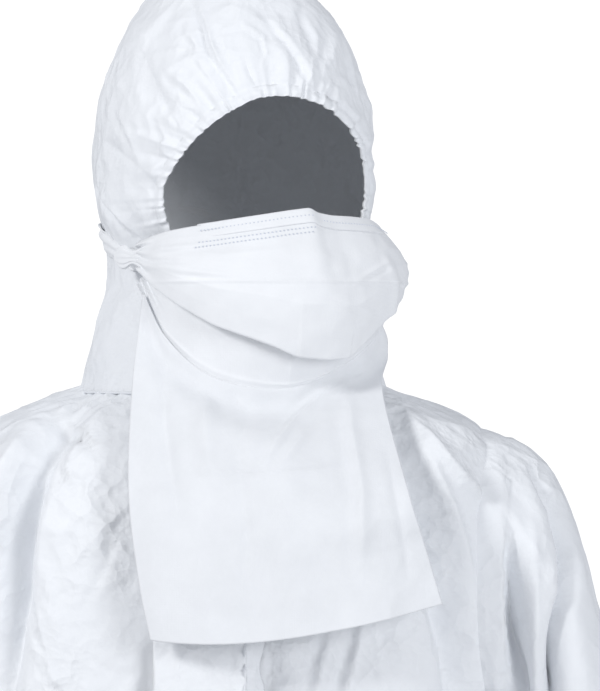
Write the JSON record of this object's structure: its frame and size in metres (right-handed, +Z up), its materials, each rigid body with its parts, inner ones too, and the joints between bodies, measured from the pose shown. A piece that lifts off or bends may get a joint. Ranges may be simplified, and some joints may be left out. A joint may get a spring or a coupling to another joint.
{
  "type": "chemical protective suit",
  "caption": "White hooded disposable coverall with elasticated hood, storm flap over a front zip, sleeves and legs with elastic hems, worn with a tie-on pouch mask and hanging bib.",
  "frame": {"origin": "middle of the neck base, where the wearer's neck holds the suit", "axes": "+Z up the wearer's neck, front towards -Y, the wearer's left towards +X"},
  "size_m": [0.7144, 0.2947, 1.75],
  "materials": {
    "fabric": "matt microporous film laminate on spunbond",
    "seam": "bound and stitched seam tape",
    "elastic": "narrow covered elastic",
    "mask": "matt spunbond non-woven",
    "veil": "thin translucent spunbond non-woven",
    "plastic": "moulded nylon",
    "wire": "soft aluminium strip",
    "label": "blank woven tape"
  },
  "bodies": {
    "torso": {"front_panel_right": "fabric", "front_panel_left": "fabric", "back_panel_upper": "fabric", "back_panel_seat": "fabric", "waist_elastic": "elastic", "size_label": "label", "collar_band": "seam", "zip_teeth_right": "plastic", "zip_teeth_left": "plastic", "zip_tape_right": "seam", "zip_tape_left": "seam", "zip_top_stop_right": "plastic", "zip_top_stop_left": "plastic", "zip_bottom_stop": "plastic", "flap_seam_welt": "seam", "hip_section_right": "fabric", "hip_section_left": "fabric", "crotch_gusset": "fabric"},
    "flap": {"storm_flap": "fabric", "flap_adhesive_strip": "label"},
    "slider": {"zip_slider": "plastic"},
    "pull": {"zip_pull_tab": "plastic"},
    "hood": {"hood_panel_right": "fabric", "hood_panel_left": "fabric", "hood_panel_centre": "fabric", "hood_hem": "fabric", "hood_elastic": "elastic", "mask_front_panel": "mask", "mask_inner_panel": "mask", "mask_chin_panel": "mask", "nose_binding": "mask", "nose_wire": "wire", "mask_gather_right": "mask", "mask_gather_left": "mask", "mask_strap_right": "mask", "mask_strap_left": "mask", "strap_knot": "mask"},
    "bib": {"mask_bib": "veil"},
    "upper_arm_right": {"upper_sleeve_right": "fabric", "elbow_section_right": "fabric"},
    "forearm_right": {"lower_sleeve_right": "fabric", "cuff_hem_right": "fabric", "cuff_elastic_right": "elastic"},
    "thigh_right": {"upper_leg_right": "fabric", "knee_section_right": "fabric"},
    "shin_right": {"lower_leg_right": "fabric", "ankle_hem_right": "fabric", "ankle_elastic_right": "elastic"},
    "upper_arm_left": {"upper_sleeve_left": "fabric", "elbow_section_left": "fabric"},
    "forearm_left": {"lower_sleeve_left": "fabric", "cuff_hem_left": "fabric", "cuff_elastic_left": "elastic"},
    "thigh_left": {"upper_leg_left": "fabric", "knee_section_left": "fabric"},
    "shin_left": {"lower_leg_left": "fabric", "ankle_hem_left": "fabric", "ankle_elastic_left": "elastic"}
  },
  "joints": [
    {"name": "hood_turn", "type": "hinge", "parent": "torso", "child": "hood", "pos_m": [0, 0, 0.055], "axis": [0, 0, 1], "range_deg": [-15, 10], "deforming": ["mask_bib"]},
    {"name": "bib_lift", "type": "hinge", "parent": "hood", "child": "bib", "pos_m": [0.05564, -0.08905, 0.05], "axis": [-0.848, -0.5299, 0], "range_deg": [0, 100], "deforming": ["mask_bib"]},
    {"name": "flap_open", "type": "hinge", "parent": "torso", "child": "flap", "pos_m": [0.024, -0.141, -0.32], "axis": [0, 0, 1], "range_deg": [0, 150]},
    {"name": "zip_slide", "type": "slide", "parent": "torso", "child": "slider", "axis": [0, 0, -1], "range_m": [0, 0.58]},
    {"name": "pull_swing", "type": "hinge", "parent": "slider", "child": "pull", "pos_m": [0, -0.1356, 0.006], "axis": [-1, 0, 0], "range_deg": [0, 60]},
    {"name": "shoulder_swing_right", "type": "hinge", "parent": "torso", "child": "upper_arm_right", "pos_m": [-0.1603, 0, -0.072], "axis": [-1, 0, 0], "range_deg": [-30, 60]},
    {"name": "elbow_bend_right", "type": "hinge", "parent": "upper_arm_right", "child": "forearm_right", "pos_m": [-0.257, 0, -0.367], "axis": [-0.9703, 0, 0.2419], "range_deg": [0, 75], "deforming": ["elbow_section_right"]},
    {"name": "hip_swing_right", "type": "hinge", "parent": "torso", "child": "thigh_right", "pos_m": [-0.099, 0, -0.7], "axis": [-1, 0, 0], "range_deg": [-15, 30], "deforming": ["hip_section_right", "crotch_gusset"]},
    {"name": "knee_bend_right", "type": "hinge", "parent": "thigh_right", "child": "shin_right", "pos_m": [-0.114, 0, -1.01], "axis": [1, 0, 0], "range_deg": [0, 45], "deforming": ["knee_section_right"]},
    {"name": "shoulder_swing_left", "type": "hinge", "parent": "torso", "child": "upper_arm_left", "pos_m": [0.1603, 0, -0.072], "axis": [-1, 0, 0], "range_deg": [-30, 60]},
    {"name": "elbow_bend_left", "type": "hinge", "parent": "upper_arm_left", "child": "forearm_left", "pos_m": [0.257, 0, -0.367], "axis": [-0.9703, 0, -0.2419], "range_deg": [0, 75], "deforming": ["elbow_section_left"]},
    {"name": "hip_swing_left", "type": "hinge", "parent": "torso", "child": "thigh_left", "pos_m": [0.099, 0, -0.7], "axis": [-1, 0, 0], "range_deg": [-15, 30], "deforming": ["hip_section_left", "crotch_gusset"]},
    {"name": "knee_bend_left", "type": "hinge", "parent": "thigh_left", "child": "shin_left", "pos_m": [0.114, 0, -1.01], "axis": [1, 0, 0], "range_deg": [0, 45], "deforming": ["knee_section_left"]}
  ]
}
